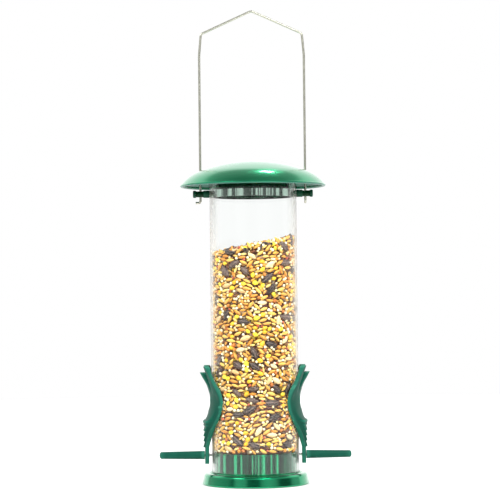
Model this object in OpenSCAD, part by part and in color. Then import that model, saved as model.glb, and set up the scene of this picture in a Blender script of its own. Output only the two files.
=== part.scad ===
// Hanging seed feeder: a clear tube on a pinned metal base, two feeding ports with perches,
// and a domed roof that slides up the legs of a wire bail.
// Millimetres. +Z is up, the origin is the centre of the underside of the base, and the
// ports, the perches and the legs of the bail all lie in the XZ plane.

/* [Tube] */
// Outer diameter of the clear seed tube
tube_od = 65; // [56:1:84]
// Wall of the clear seed tube
tube_wall = 1.25; // [1:0.25:2.5]
// Length of the clear seed tube
tube_len = 219.6; // [190:0.1:300]

/* [Base] */
// How far the foot of the base stands out past the tube
base_reach = 7.1; // [6:0.1:14]
// Height of the tube's seat above the table
seat_h = 8.4; // [7:0.1:12]
// Height of the crown that stands up inside the tube
crown_h = 15.6; // [13:0.1:24]
// Gap between the crown and the bore of the tube
crown_gap = 0.3; // [0.2:0.05:1]
// Sheet thickness of the metal base shell
base_sheet = 0.9; // [0.6:0.1:1.2]
// Diameter of a drain hole
drain_d = 3; // [2:0.25:4]

/* [Roof] */
// How far the eaves of the roof stand out past the tube
eaves = 21.85; // [18:0.05:34]
// Rise of the dome above its own rim
roof_rise = 18.4; // [16.5:0.1:30]
// Radius of the dome's shoulder, tighter than its crown
dome_shoulder = 30; // [24:1:34]
// Sheet thickness of the dome
roof_sheet = 1; // [0.8:0.1:1.4]
// How far the rim hangs below the top of the tube
rim_drop = 6; // [3:0.1:7]
// Gap between the plug under the roof and the screws of the pegs
plug_gap = 1.4; // [0.8:0.1:6]
// How far the plug reaches down into the tube
plug_drop = 13.6; // [11:0.1:16]

/* [Hanger] */
// Diameter of the bail wire
wire_d = 1.8; // [1.5:0.1:2.4]
// Distance from the tube's surface to a leg of the bail
leg_reach = 6.7; // [6:0.1:12]
// Height of the bail's shoulders above the top of the tube
shoulder_h = 108; // [90:1:160]
// Height of the bail's peak above its shoulders
peak_h = 17; // [12:0.5:40]
// Diameter of the shank of a peg
peg_d = 4.7; // [4.4:0.1:6]
// Distance of the pegs below the top of the tube
peg_drop = 12; // [11:0.1:20]

/* [Ports] */
// Bore of a feeding port
port_bore = 15; // [11:0.5:15.5]
// Height of the feeding ports above the tube's seat
port_rise = 54; // [50:0.5:90]
// How far the flared top of a port stands out past the tube
flare_reach = 8; // [6:0.1:10]
// How far the tray lip of a port stands out past the tube
tray_reach = 6.6; // [5.5:0.1:8]

/* [Perches] */
// Diameter of the steel rod that carries both perches
rod_d = 2; // [1.6:0.1:3]
// Length of a perch
perch_len = 33.6; // [26:0.2:60]
// Diameter of a perch at its root
perch_d = 6.3; // [5:0.1:8]

/* [Seed] */
// Room between the highest seed and the plug under the roof
seed_room = 29.9; // [10:0.1:100]
// Slope of the top of the seed
seed_tilt = 11.2; // [0:0.1:14]

/* [Hidden] */
$fn = 96;

// Clearances
running = 0.06;     // between a wire, rod or screw and the hole that it runs in
spigot_gap = 0.2;   // between a moulded spigot and its hole
skin_gap = 0.15;    // between a piece and the tube that it lies against
roof_gap = 0.1;     // between the roof's seat and the top of the tube
leg_gap = 0.4;      // between a leg of the bail and the roof

// Tube
tube_r = tube_od / 2;
bore_r = tube_r - tube_wall;
tube_top = seat_h + tube_len;

// Base
base_r = tube_r + base_reach;
crown_r = bore_r - crown_gap;
crown_top = seat_h + crown_h;
bead_r = 0.9;       // half the width of the raised ring round the foot of the tube
shell_lift = 0.3;   // the shell's edge clears the table, so that the core stands on it
edge_h = 0.8;       // height of the upright edge of the foot
crown_round = 1.5;  // rounding of the crown's upper edge
ring_off = 0.3;     // from the tube's surface to the raised ring
shoulder_in_r = 3.5;    // from the edge of the foot to the centre of its shoulder's rounding
shoulder_drop = 2.5;    // from the seat down to that centre
shoulder_round = 2.55;
core_gap = 0.05;    // between the shell and the core inside it
drain_ring_r = 18;  // radius of the ring of drain holes

// Perch rod
rod_drop = 2.5;     // the rod's centre lies this far below the top of the crown
rod_z = crown_top - rod_drop;
rod_tail = 20;      // how far the rod reaches into a perch
perch_gap = 0.05;   // between a perch and the port's stem
perch_taper = 0.5;  // how much a perch's radius shrinks towards its tip
perch_round = 1.8;  // rounding of a perch's tip

// Ports
port_z = seat_h + port_rise;
port_wall = 1.3;    // wall of the port's spigot, and of its back
spigot_r = port_bore / 2 + port_wall;
spigot_x = bore_r - 3.5;
back_r = tube_r + skin_gap;
waist_r = back_r + port_wall;
flare_r = tube_r + flare_reach;
tray_r = tube_r + tray_reach;
flare_wall = 2.1;   // thickness of the flared top
flare_up = 25.6;    // from the port's axis to the tips of the flare
flare_dip = 5;      // how far the middle of the flare lies below its tips
tray_down = 15;     // from the port's axis to the tray lip
rib_count = 5;
rib_pitch = 3.95;
rib_step = 1.1;     // how far each rib stands out
rib_shrink = 0.2;   // how much less each rib stands out than the one above
flare_lean = 0.5;   // how far the tips of the flare lean out past its middle
back_top = 8;       // height above the port's axis to which the shield lies flat on the tube
wing_w = 22.5;      // half the width of the shield at the port's axis
horn_w = 15;        // half the width of the shield at the flare's tips
stem_w = 4;         // half the width of the stem
stem_r = tube_r + 5.3;
stem_wall = 3;
stem_bottom = rod_z - 6.3;
stem_top = port_z - 29;
port_sweep = 120;   // how far round the tube the shield's section is swept

// Baffles inside the tube
baffle_wall = 1.4;
baffle_r = spigot_r + running;
hood_x = bore_r - 12.5;

// Hanger
leg_x = tube_r + leg_reach;
peg_z = tube_top - peg_drop;
peg_tail = 5.6;     // from a leg's centre to the outer end of its peg
peg_head_r = peg_d / 2 + 0.4;
peg_waist_r = peg_d / 2 - 0.1;
peg_collar = 2.6;   // from a leg's centre, and from the outer end, to the spool's waist
peg_flank = 0.85;   // length of the slope between the waist and a thick end
peg_round = 0.5;
ring_wall = 0.8;
ring_h = 5.4;
ring_gap = 0.5;     // between the collar ring and the bore of the tube
ring_r = bore_r - ring_gap;
screw_gap = 0.1;    // between the collar ring and the head of a screw
screw_r = 1.1;
screw_head_r = 2;
screw_head_h = 1.2;
screw_len = 6;
shoulder_z = tube_top + shoulder_h;
peak_z = shoulder_z + peak_h;
shoulder_in = 1.4;  // the shoulders stand this much closer in than the legs
bow_h = 16;         // height over which a leg leans in to its shoulder
hook_z = peg_z - peg_head_r - 3.8;
hook_len = 3.6;
bend_r = 1.7;       // radius of the hooks' bends, to the wire's centre
corner_r = 3.2;     // radius of the bends at the shoulders and the peak
elbow_lap = 0.1;    // how far a straight run of wire goes into the bend beside it
elbow_swell = 0.01; // how much a bend is thicker than the wire, all round

// Roof
roof_r = tube_r + eaves;
rim_z = tube_top - rim_drop;
dome_lean = 53.5;   // slope of the shoulder where it meets the rolled rim
dome_edge_in = 0.15;    // from the outermost reach of the roof to the end of the shoulder
dome_edge_up = 0.6;     // from the rim's plane to the end of the shoulder
dome_lap = 0.005;   // the shoulder is bigger by this, so that it fuses with the crown
swell_x = roof_r - dome_edge_in - dome_shoulder * sin(dome_lean);
swell_z = rim_z + dome_edge_up - dome_shoulder * cos(dome_lean);
swell_up = rim_z + roof_rise - swell_z;
dome_r = (pow(swell_x, 2) + pow(swell_up, 2) - pow(dome_shoulder, 2)) / (2 * (swell_up - dome_shoulder));
dome_z = rim_z + roof_rise - dome_r;
join_x = dome_r * swell_x / (dome_r - dome_shoulder);   // where the crown gives way to the shoulder
bead_lip_r = 1.1;   // radius of the rolled rim
bead_lip_up = 0.2;  // from the rim's plane to the middle of the roll
seat_z = tube_top + roof_gap;
plug_r = ring_r - ring_wall - screw_gap - screw_head_h - plug_gap;
plug_wall = 1.8;
plug_edge = 0.6;    // chamfer of the plug's lower edge
plug_z = tube_top - plug_drop;
plug_floor_z = plug_z + 5.5;
flange_r = tube_r - 0.3;
flange_h = 1.6;
stack_gap = 0.03;   // between the stud, the washer, the nut and what each lies on
boss_r = 5;
stud_r = 2;
stud_head_r = 6;
stud_head_h = 1.2;
dome_under = dome_z + sqrt(pow(dome_r - roof_sheet, 2) - pow(stud_head_r, 2));
stud_head_z = dome_under - stack_gap - stud_head_h;
washer_r = 5;
washer_h = 0.8;
nut_r = 3.9;
nut_h = 2.6;

// Seed
seed_gap = 0.3;
seed_r = bore_r - seed_gap;
seed_top = plug_z - seed_room - seed_r * tan(seed_tilt);

// Colours
painted_green = [0.12, 0.55, 0.37];
port_green = [0.13, 0.42, 0.34];
dark_green = [0.03, 0.16, 0.1];
steel = [0.74, 0.74, 0.7];
clear = [0.9, 0.95, 0.94, 0.35];
grain = [0.85, 0.7, 0.38];

// Points along an arc about (cx, cy), from angle a0 to angle a1
function arc(cx, cy, r, a0, a1, steps = 6) =
    [for (i = [0 : steps]) let (a = a0 + (a1 - a0) * i / steps) [cx + r * cos(a), cy + r * sin(a)]];

// Goes smoothly from 0 to 1 as t does
function ease(t) = 0.5 - 0.5 * cos(180 * min(max(t, 0), 1));

// Places its children with their Z axis along +X, or along -X for the left-hand side
module along_x(side = 1) {
    rotate([0, 90 * side, 0]) children();
}

// A straight round hole or bar across the tube, from x0 outwards
module bar_x(side, x0, x1, r, z) {
    translate([side * x0, 0, z]) along_x(side) cylinder(h = x1 - x0, r = r);
}

// ---- Tube ----

module tube() {
    color(clear) difference() {
        translate([0, 0, seat_h]) cylinder(h = tube_len, r = tube_r);
        translate([0, 0, seat_h - 1]) cylinder(h = tube_len + 2, r = bore_r);
        for (side = [-1, 1]) {
            bar_x(side, bore_r - 5, tube_r + 5, spigot_r + spigot_gap, port_z);
            bar_x(side, bore_r - 5, tube_r + 5, rod_d / 2 + running, rod_z);
            bar_x(side, bore_r - 5, tube_r + 5, peg_d / 2 + running, peg_z);
        }
    }
}

// ---- Base ----

// Half outline of the base, inset by t all over, from the top of the crown to the foot. The raised
// ring and the shoulder close up by less than t, so that their roundings stay whole.
function base_outline(t, foot_z) = concat(
    [[0, crown_top - t]],
    arc(crown_r - crown_round, crown_top - crown_round, crown_round - t, 90, 0),
    [[crown_r - t, seat_h - t]],
    [[tube_r + ring_off - 0.4 * t, seat_h - t]],
    arc(tube_r + ring_off + bead_r, seat_h, bead_r - 0.4 * t, 180, 20),
    arc(base_r - shoulder_in_r - 0.4 * t, seat_h - shoulder_drop, shoulder_round - 0.6 * t, 88, 12),
    [[base_r - t, shell_lift + edge_h]],
    [[base_r - t, foot_z]],
    [[0, foot_z]]
);

module drain_holes() {
    for (i = [0 : 3]) {
        rotate([0, 0, 45 + 90 * i]) translate([drain_ring_r, 0, -1]) cylinder(h = crown_top + 2, d = drain_d);
    }
}

module rod_hole() {
    for (side = [-1, 1]) bar_x(side, 0, base_r, rod_d / 2 + running, rod_z);
}

module base_shell() {
    color(painted_green) difference() {
        rotate_extrude() difference() {
            polygon(base_outline(0, shell_lift));
            polygon(base_outline(base_sheet, -1));
        }
        drain_holes();
        rod_hole();
    }
}

module base_core() {
    color(dark_green) difference() {
        rotate_extrude() polygon(base_outline(base_sheet + core_gap, 0));
        drain_holes();
        rod_hole();
    }
}

// ---- Perches ----

module perch_rod() {
    color(steel) translate([0, 0, rod_z]) rotate([0, 90, 0])
        cylinder(h = 2 * (stem_r + rod_tail), d = rod_d, center = true);
}

// A perch is turned to a slight taper with a round tip, and is pushed onto the rod
module perch(side) {
    root = perch_d / 2;
    tip = root - perch_taper;
    edge = 0.3;
    bore = rod_d / 2 + running;
    color(port_green) translate([side * (stem_r + perch_gap), 0, rod_z]) along_x(side)
        rotate_extrude() polygon(concat(
            [[bore, 0], [root - edge, 0], [root, edge]],
            arc(tip - perch_round, perch_len - perch_round, perch_round, 10, 90),
            [[0, perch_len], [0, rod_tail + 1], [bore, rod_tail + 1]]
        ));
}

module perch_left() {
    perch(-1);
}

module perch_right() {
    perch(1);
}

// ---- Feeding ports ----

// Outer radius of the scooped shield at a height above or below the port's axis
function scoop_r(z) = z >= 0
    ? waist_r + (flare_r - waist_r) * pow(z / (flare_up - flare_dip), 2)
    : waist_r + (tray_r - waist_r) * pow(z / tray_down, 2);

// Half width of the shield at a height above or below the port's axis
function shield_w(z) = z >= 0
    ? wing_w + (horn_w - wing_w) * ease(z / (flare_up - 2))
    : stem_w + (wing_w - stem_w) * pow(sin(90 * max(0, 1 + z / (port_z - stem_top))), 0.85);

// Section of the shield through the port's axis: scoop, ribs, stem, and the back against the tube
function shield_section() = concat(
    [for (z = [-tray_down : 1.5 : flare_up - flare_dip]) [scoop_r(z), z]],
    [[flare_r + flare_lean, flare_up], [flare_r + flare_lean - flare_wall, flare_up]],
    [for (z = [flare_up - flare_dip : -1.5 : back_top]) [max(back_r, scoop_r(z) - flare_wall), z]],
    [[back_r, stem_top - port_z + 3]],
    [[stem_r - stem_wall, rod_z + 3 - port_z], [stem_r - stem_wall, stem_bottom - port_z]],
    [[stem_r, stem_bottom - port_z]],
    [for (i = [rib_count - 1 : -1 : 0], k = [0, 1, 2]) [
        tray_r - rib_shrink * i - (k == 0 ? rib_step : 0),
        -tray_down - rib_pitch * i - [rib_pitch, rib_pitch - 1, 0.4][k]
    ]]
);

module shield_outline() {
    low = stem_bottom - port_z - 1;
    steps = 24;
    heights = [for (i = [0 : steps]) low + (flare_up - low) * i / steps];
    crest = [for (i = [0 : 8]) let (y = horn_w * (1 - i / 4))
        [y, flare_up - flare_dip * (1 - pow(y / horn_w, 2))]];
    polygon(concat(
        [for (z = heights) if (z < flare_up) [shield_w(z), z]],
        crest,
        [for (i = [steps : -1 : 0]) if (heights[i] < flare_up) [-shield_w(heights[i]), heights[i]]]
    ));
}

module port(side) {
    reach = flare_r + 10;
    color(port_green) translate([0, 0, port_z]) rotate([0, 0, side > 0 ? 0 : 180]) difference() {
        union() {
            intersection() {
                rotate([0, 0, -port_sweep / 2]) rotate_extrude(angle = port_sweep) polygon(shield_section());
                rotate([90, 0, 90]) linear_extrude(reach) shield_outline();
            }
            translate([spigot_x, 0, 0]) rotate([0, 90, 0]) cylinder(h = back_r + 1 - spigot_x, r = spigot_r);
        }
        rotate([0, 90, 0]) cylinder(h = reach, d = port_bore);
        translate([0, 0, rod_z - port_z]) rotate([0, 90, 0]) cylinder(h = reach, r = rod_d / 2 + running);
    }
}

module port_left() {
    port(-1);
}

module port_right() {
    port(1);
}

// A baffle snaps onto the port's spigot inside the tube, and roofs the port over
module baffle(side) {
    outer_r = baffle_r + baffle_wall;
    color(port_green) translate([0, 0, port_z]) rotate([0, 0, side > 0 ? 0 : 180]) intersection() {
        difference() {
            translate([hood_x, 0, 0]) rotate([0, 90, 0]) cylinder(h = bore_r - hood_x, r = outer_r);
            translate([hood_x + baffle_wall, 0, 0]) rotate([0, 90, 0]) cylinder(h = bore_r, r = baffle_r);
            translate([hood_x - 1, -outer_r - 1, -outer_r - 1])
                cube([spigot_x - hood_x + 1, 2 * outer_r + 2, outer_r + 1]);
        }
        translate([0, 0, -outer_r - 1]) cylinder(h = 2 * outer_r + 2, r = bore_r - skin_gap);
    }
}

module baffle_left() {
    baffle(-1);
}

module baffle_right() {
    baffle(1);
}

// ---- Collar, pegs and their screws ----

module collar_ring() {
    color(steel) difference() {
        translate([0, 0, peg_z - ring_h / 2]) cylinder(h = ring_h, r = ring_r);
        translate([0, 0, peg_z - ring_h]) cylinder(h = 2 * ring_h, r = ring_r - ring_wall);
        for (side = [-1, 1]) bar_x(side, ring_r - 5, ring_r + 5, screw_r + running, peg_z);
    }
}

// A peg is a spool: it goes through the tube, and holds one leg of the bail
module peg(side) {
    shank_r = peg_d / 2;
    inner_x = ring_r + 0.03;
    flank_x = tube_r + skin_gap;
    outer_x = leg_x + peg_tail;
    near_x = leg_x - peg_collar;
    far_x = outer_x - peg_collar;
    color(dark_green) translate([0, 0, peg_z]) difference() {
        along_x(side) rotate_extrude() polygon([
            [0, inner_x], [shank_r, inner_x], [shank_r, flank_x], [peg_head_r, flank_x],
            [peg_head_r, near_x], [peg_waist_r, near_x + peg_flank], [peg_waist_r, far_x],
            [peg_head_r, far_x + peg_flank], [peg_head_r, outer_x - peg_round],
            [peg_head_r - peg_round, outer_x], [0, outer_x]
        ]);
        bar_x(side, inner_x - 1, inner_x + screw_len, screw_r + running, 0);
        translate([side * leg_x, 0, -peg_head_r - 1])
            cylinder(h = 2 * peg_head_r + 2, r = wire_d / 2 + running);
    }
}

module peg_left() {
    peg(-1);
}

module peg_right() {
    peg(1);
}

module peg_screws() {
    head_x = ring_r - ring_wall - screw_gap;
    for (side = [-1, 1]) color(steel) union() {
        bar_x(side, head_x - screw_head_h, head_x, screw_head_r, peg_z);
        bar_x(side, head_x - 0.2, head_x + screw_len, screw_r, peg_z);
    }
}

// ---- Bail ----

// Heading of the line from point a to point b, measured from +X towards +Z
function heading(a, b) = atan2(b[1] - a[1], b[0] - a[0]);

// The turn at point b, between -180 and 180
function turn(a, b, c) = let (t = heading(b, c) - heading(a, b)) t > 180 ? t - 360 : t < -180 ? t + 360 : t;

// One round bend of a wire of diameter d, through angle a about the Z axis
module elbow(r, a, d) {
    rotate_extrude(angle = a) translate([r, 0]) circle(d = d + 2 * elbow_swell, $fn = 32);
}

// A round wire through points in the XZ plane, with a round bend of its own radius at each
module bent_wire(pts, radii, d) {
    last = len(pts) - 1;
    cuts = [for (i = [0 : last]) i == 0 || i == last ? 0
        : radii[i] * tan(abs(turn(pts[i - 1], pts[i], pts[i + 1])) / 2)];
    rotate([90, 0, 0]) {
        for (i = [0 : last - 1]) {
            from = i == 0 ? 0 : cuts[i] - elbow_lap;
            to = norm(pts[i + 1] - pts[i]) - (i + 1 == last ? 0 : cuts[i + 1] - elbow_lap);
            translate([pts[i][0], pts[i][1], 0]) rotate([0, 0, heading(pts[i], pts[i + 1])])
                translate([from, 0, 0]) rotate([0, 90, 0]) cylinder(h = to - from, d = d);
        }
        for (i = [1 : 1 : last - 1]) {
            bend = turn(pts[i - 1], pts[i], pts[i + 1]);
            translate([pts[i][0], pts[i][1], 0]) rotate([0, 0, heading(pts[i - 1], pts[i])])
                translate([-cuts[i], sign(bend) * radii[i], 0]) rotate([0, 0, bend > 0 ? -90 : 90 + bend])
                elbow(radii[i], abs(bend), d);
        }
    }
}

// The left leg ends in a hook that points outwards, and the right leg in one that points back
module bail() {
    leg_end = hook_z + bend_r;
    color(steel) union() {
        bent_wire(
            [
                [-leg_x - hook_len, hook_z], [-leg_x, hook_z], [-leg_x, shoulder_z - bow_h],
                [-leg_x + shoulder_in, shoulder_z], [0, peak_z], [leg_x - shoulder_in, shoulder_z],
                [leg_x, shoulder_z - bow_h], [leg_x, leg_end - elbow_lap]
            ],
            [0, bend_r, 30, corner_r, corner_r, corner_r, 30, 0],
            wire_d
        );
        translate([leg_x, bend_r, leg_end]) rotate([0, 90, 0]) rotate([0, 0, -90]) elbow(bend_r, 90, wire_d);
        translate([leg_x, bend_r - elbow_lap, hook_z]) rotate([-90, 0, 0])
            cylinder(h = hook_len - bend_r + elbow_lap, d = wire_d);
    }
}

// ---- Roof ----

// Half section of the dome as a solid, inset by t all over
module dome_section(t) {
    intersection() {
        translate([0, dome_z]) circle(r = dome_r - t, $fn = 360);
        translate([0, rim_z]) square([join_x * (1 - t / dome_r), roof_rise + 5]);
    }
    translate([swell_x, swell_z]) circle(r = dome_shoulder + dome_lap - t, $fn = 360);
}

module roof_dome() {
    color(painted_green) difference() {
        rotate_extrude() union() {
            intersection() {
                difference() {
                    dome_section(0);
                    dome_section(roof_sheet);
                }
                translate([0, rim_z + 2 * bead_lip_up]) square([roof_r + 5, roof_rise + 5]);
            }
            translate([roof_r - bead_lip_r, rim_z + bead_lip_up]) circle(r = bead_lip_r, $fn = 32);
        }
        for (side = [-1, 1]) {
            translate([side * leg_x, 0, rim_z]) cylinder(h = roof_rise + 5, r = wire_d / 2 + leg_gap);
        }
    }
}

module roof_plug() {
    boss_top = stud_head_z - stack_gap;
    inner_r = plug_r - plug_wall;
    bore = stud_r + running;
    color(dark_green) rotate_extrude() polygon([
        [bore, plug_floor_z], [inner_r, plug_floor_z], [inner_r, plug_z], [plug_r - plug_edge, plug_z],
        [plug_r, plug_z + plug_edge], [plug_r, seat_z], [flange_r, seat_z], [flange_r, seat_z + flange_h],
        [inner_r, seat_z + flange_h], [inner_r, plug_floor_z + plug_wall],
        [boss_r, plug_floor_z + plug_wall], [boss_r, boss_top], [bore, boss_top]
    ]);
}

module roof_stud() {
    color(steel) union() {
        translate([0, 0, stud_head_z]) cylinder(h = stud_head_h, r = stud_head_r);
        translate([0, 0, plug_z + 1]) cylinder(h = stud_head_z - plug_z - 1 + stud_head_h / 2, r = stud_r);
    }
}

module roof_washer() {
    color(steel) difference() {
        translate([0, 0, plug_floor_z - washer_h - stack_gap]) cylinder(h = washer_h, r = washer_r);
        translate([0, 0, plug_z]) cylinder(h = plug_drop, r = stud_r + 0.2);
    }
}

module roof_nut() {
    color(steel) difference() {
        translate([0, 0, plug_floor_z - washer_h - nut_h - 2 * stack_gap])
            cylinder(h = nut_h, r = nut_r, $fn = 6);
        translate([0, 0, plug_z]) cylinder(h = plug_drop, r = stud_r + running);
    }
}

// ---- Seed ----

module seed_fill() {
    hood_r = baffle_r + baffle_wall + seed_gap;
    color(grain) difference() {
        translate([0, 0, crown_top + core_gap]) cylinder(h = tube_len, r = seed_r);
        translate([0, 0, seed_top]) rotate([0, -seed_tilt, 0])
            translate([-tube_od, -tube_od, 0]) cube([2 * tube_od, 2 * tube_od, 2 * tube_len]);
        for (side = [-1, 1]) {
            bar_x(side, hood_x - seed_gap, tube_r, hood_r, port_z);
        }
    }
}

tube();
collar_ring();
peg_left();
peg_right();
peg_screws();
bail();
roof_dome();
roof_plug();
roof_stud();
roof_washer();
roof_nut();
port_left();
port_right();
baffle_left();
baffle_right();
perch_left();
perch_right();
perch_rod();
base_shell();
base_core();
seed_fill();
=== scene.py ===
"""Looks of a hanging seed feeder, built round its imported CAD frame.

Laid out as an add-on and run as a script: one operator per piece or group of like pieces, one for the
stage, and a panel that lists them. Lengths are in metres; profiles are written in millimetres.
"""

import math
import random

import bmesh
import bpy
import numpy as np
from bpy.props import FloatProperty, FloatVectorProperty, IntProperty, PointerProperty
from mathutils import Matrix, Vector


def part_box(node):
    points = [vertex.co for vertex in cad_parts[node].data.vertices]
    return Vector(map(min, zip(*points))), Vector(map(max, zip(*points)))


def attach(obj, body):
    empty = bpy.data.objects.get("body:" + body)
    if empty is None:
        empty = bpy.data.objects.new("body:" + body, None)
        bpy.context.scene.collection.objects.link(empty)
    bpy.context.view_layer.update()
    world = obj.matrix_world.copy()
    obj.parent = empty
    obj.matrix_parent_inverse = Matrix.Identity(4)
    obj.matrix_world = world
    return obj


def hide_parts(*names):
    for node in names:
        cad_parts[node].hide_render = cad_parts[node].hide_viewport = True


bl_info = {
    "name": "Hanging Seed Feeder",
    "version": (1, 0, 0),
    "blender": (4, 5, 0),
    "location": "View3D > Sidebar > Feeder",
    "description": "Ports, seed, finishes and stage for a hanging seed feeder",
    "category": "Object",
}

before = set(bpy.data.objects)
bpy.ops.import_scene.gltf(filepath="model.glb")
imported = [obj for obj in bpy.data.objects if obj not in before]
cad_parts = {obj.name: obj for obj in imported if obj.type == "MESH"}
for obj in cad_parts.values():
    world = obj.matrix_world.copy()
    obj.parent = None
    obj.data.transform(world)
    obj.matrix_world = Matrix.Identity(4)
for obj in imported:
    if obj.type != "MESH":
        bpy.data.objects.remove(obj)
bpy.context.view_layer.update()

# Sizes of the frame in millimetres
MM = 0.001
TUBE_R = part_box("tube")[1].x / MM
SEED_GAP = 0.3
BORE_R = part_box("seed_fill")[1].x / MM + SEED_GAP
PORT_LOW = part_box("port_right")[0].z / MM
SEED_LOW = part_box("seed_fill")[0].z / MM
SEED_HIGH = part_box("seed_fill")[1].z / MM
SHARP_ANGLE = math.radians(42)

# Paler greens painted on the crests of plastic edges as a painted highlight
EDGE_HIGHLIGHT_GREEN = (0.06, 0.36, 0.24)
EDGE_HIGHLIGHT_DARK_GREEN = (0.02, 0.12, 0.07)
PRIMER = (0.012, 0.155, 0.10)
STEEL = (0.55, 0.55, 0.53)
SEED_SHADE = (0.13, 0.03, 0.014)


# ---- Sizes and colours that a user would change ----


def colour(name, text, default):
    return FloatVectorProperty(
        name=name, description=text, subtype="COLOR", size=3, min=0.0, max=1.0, default=default
    )


class FeederColours(bpy.types.PropertyGroup):
    """Colours of the feeder's finishes."""

    lacquer: colour("Lacquer", "Metallic green of the roof and the base", (0.006, 0.33, 0.14))
    moulding: colour("Moulding", "Green of the ports and the perches", (0.002, 0.073, 0.046))
    dark_moulding: colour("Dark Moulding", "Green of the pegs and the plug", (0.001, 0.030, 0.010))
    wire: colour("Wire", "Plated steel of the bail", (0.53, 0.53, 0.45))
    collar: colour("Collar", "Polished metal of the collar ring", (0.42, 0.56, 0.48))
    floor: colour("Floor", "Pale floor under the feeder", (0.93, 0.93, 0.93))


class FeederSizes(bpy.types.PropertyGroup):
    """Sizes of the pieces that are made here."""

    port_axis: FloatProperty(
        name="Port Axis", description="Height of the feeding holes", default=0.0624, unit="LENGTH"
    )
    port_bore: FloatProperty(
        name="Port Bore", description="Diameter of a feeding hole", default=0.015, unit="LENGTH"
    )
    seed_slope: FloatProperty(
        name="Seed Slope", description="Slope of the top of the seed", default=math.radians(11.2),
        subtype="ANGLE",
    )
    seed_random: IntProperty(
        name="Seed Random", description="Start of the random draws for the seed", default=7, min=0
    )


# ---- Node trees ----


def put(tree, kind, inputs=None, **settings):
    """Adds a node, sets its fields, and links or sets its inputs."""
    node = tree.nodes.new(kind)
    for key, value in settings.items():
        setattr(node, key, value)
    for key, value in (inputs or {}).items():
        socket = node.inputs[key]
        if isinstance(value, bpy.types.NodeSocket):
            tree.links.new(value, socket)
        elif hasattr(socket.default_value, "__len__"):
            full = tuple(value) + (1.0,) * (len(socket.default_value) - len(value))
            socket.default_value = full
        else:
            socket.default_value = value
    return node


def new_group(name, inputs, outputs):
    """A shader group with named sockets, its input node and its output node."""
    tree = bpy.data.node_groups.new(name, "ShaderNodeTree")
    kinds = {"float": "NodeSocketFloat", "colour": "NodeSocketColor", "vector": "NodeSocketVector"}
    for socket, kind in inputs:
        tree.interface.new_socket(name=socket, in_out="INPUT", socket_type=kinds[kind])
    for socket, kind in outputs:
        tree.interface.new_socket(name=socket, in_out="OUTPUT", socket_type=kinds[kind])
    return tree, tree.nodes.new("NodeGroupInput").outputs, tree.nodes.new("NodeGroupOutput").inputs


def calculate(tree, operation, a, b=0.0, clamp=False):
    """The output of a math node."""
    return put(tree, "ShaderNodeMath", {0: a, 1: b}, operation=operation, use_clamp=clamp).outputs[0]


def blend(tree, factor, first, second):
    """The colour between two colours."""
    mixed = put(tree, "ShaderNodeMix", data_type="RGBA")
    tree.links.new(factor, mixed.inputs["Factor"])
    for socket, value in zip([i for i in mixed.inputs if i.type == "RGBA"], (first, second)):
        tree.links.new(value, socket)
    return next(o for o in mixed.outputs if o.type == "RGBA")


def moulded_skin_group():
    """Moulded or painted skin: cloudy colour, uneven gloss, and a fine grain for bump."""
    tree, given, out = new_group(
        "moulded_skin",
        [("Colour", "colour"), ("Depth", "float"), ("Cloud Scale", "float"), ("Grain Scale", "float"),
         ("Roughness", "float"), ("Unevenness", "float")],
        [("Colour", "colour"), ("Roughness", "float"), ("Height", "float")],
    )
    place = put(tree, "ShaderNodeTexCoord").outputs["Object"]
    cloud = put(tree, "ShaderNodeTexNoise", {"Vector": place, "Scale": given["Cloud Scale"], "Detail": 4.0})
    grain = put(tree, "ShaderNodeTexNoise", {"Vector": place, "Scale": given["Grain Scale"], "Detail": 2.0})
    shade = calculate(tree, "SUBTRACT", cloud.outputs["Fac"], 0.5)
    shade = calculate(tree, "MULTIPLY", shade, given["Depth"])
    shade = calculate(tree, "ADD", shade, 1.0)
    tinted = put(tree, "ShaderNodeVectorMath", {0: given["Colour"], "Scale": shade}, operation="SCALE")
    tree.links.new(tinted.outputs[0], out["Colour"])
    gloss = calculate(tree, "SUBTRACT", cloud.outputs["Fac"], 0.5)
    gloss = calculate(tree, "MULTIPLY", gloss, given["Unevenness"])
    tree.links.new(calculate(tree, "ADD", gloss, given["Roughness"], clamp=True), out["Roughness"])
    tree.links.new(grain.outputs["Fac"], out["Height"])
    return tree


def spun_sheet_group():
    """Spun or drawn sheet: fine rings round the axis and faint streaks along it, which also mask painted
    reflection stripes.
    """
    tree, given, out = new_group(
        "spun_sheet",
        [("Ring Scale", "float"), ("Streak Scale", "float"), ("Streaks", "float")],
        [("Height", "float"), ("Mask", "float")],
    )
    place = put(tree, "ShaderNodeTexCoord").outputs["Object"]
    axes = put(tree, "ShaderNodeSeparateXYZ", {0: place}).outputs
    flat = put(tree, "ShaderNodeCombineXYZ", {"X": axes["X"], "Y": axes["Y"]}).outputs[0]
    radius = put(tree, "ShaderNodeVectorMath", {0: flat}, operation="LENGTH").outputs["Value"]
    along = calculate(tree, "ADD", radius, axes["Z"])
    rings = put(tree, "ShaderNodeTexNoise", {"W": along, "Scale": given["Ring Scale"], "Detail": 3.0},
                noise_dimensions="1D").outputs["Fac"]
    angle = calculate(tree, "ARCTAN2", axes["Y"], axes["X"])
    streaks = put(tree, "ShaderNodeTexNoise", {"W": angle, "Scale": given["Streak Scale"], "Detail": 3.0},
                  noise_dimensions="1D").outputs["Fac"]
    mixed = put(tree, "ShaderNodeMix", {"Factor": given["Streaks"], "A": rings, "B": streaks}).outputs[0]
    tree.links.new(mixed, out["Height"])
    tree.links.new(streaks, out["Mask"])
    return tree


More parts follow.
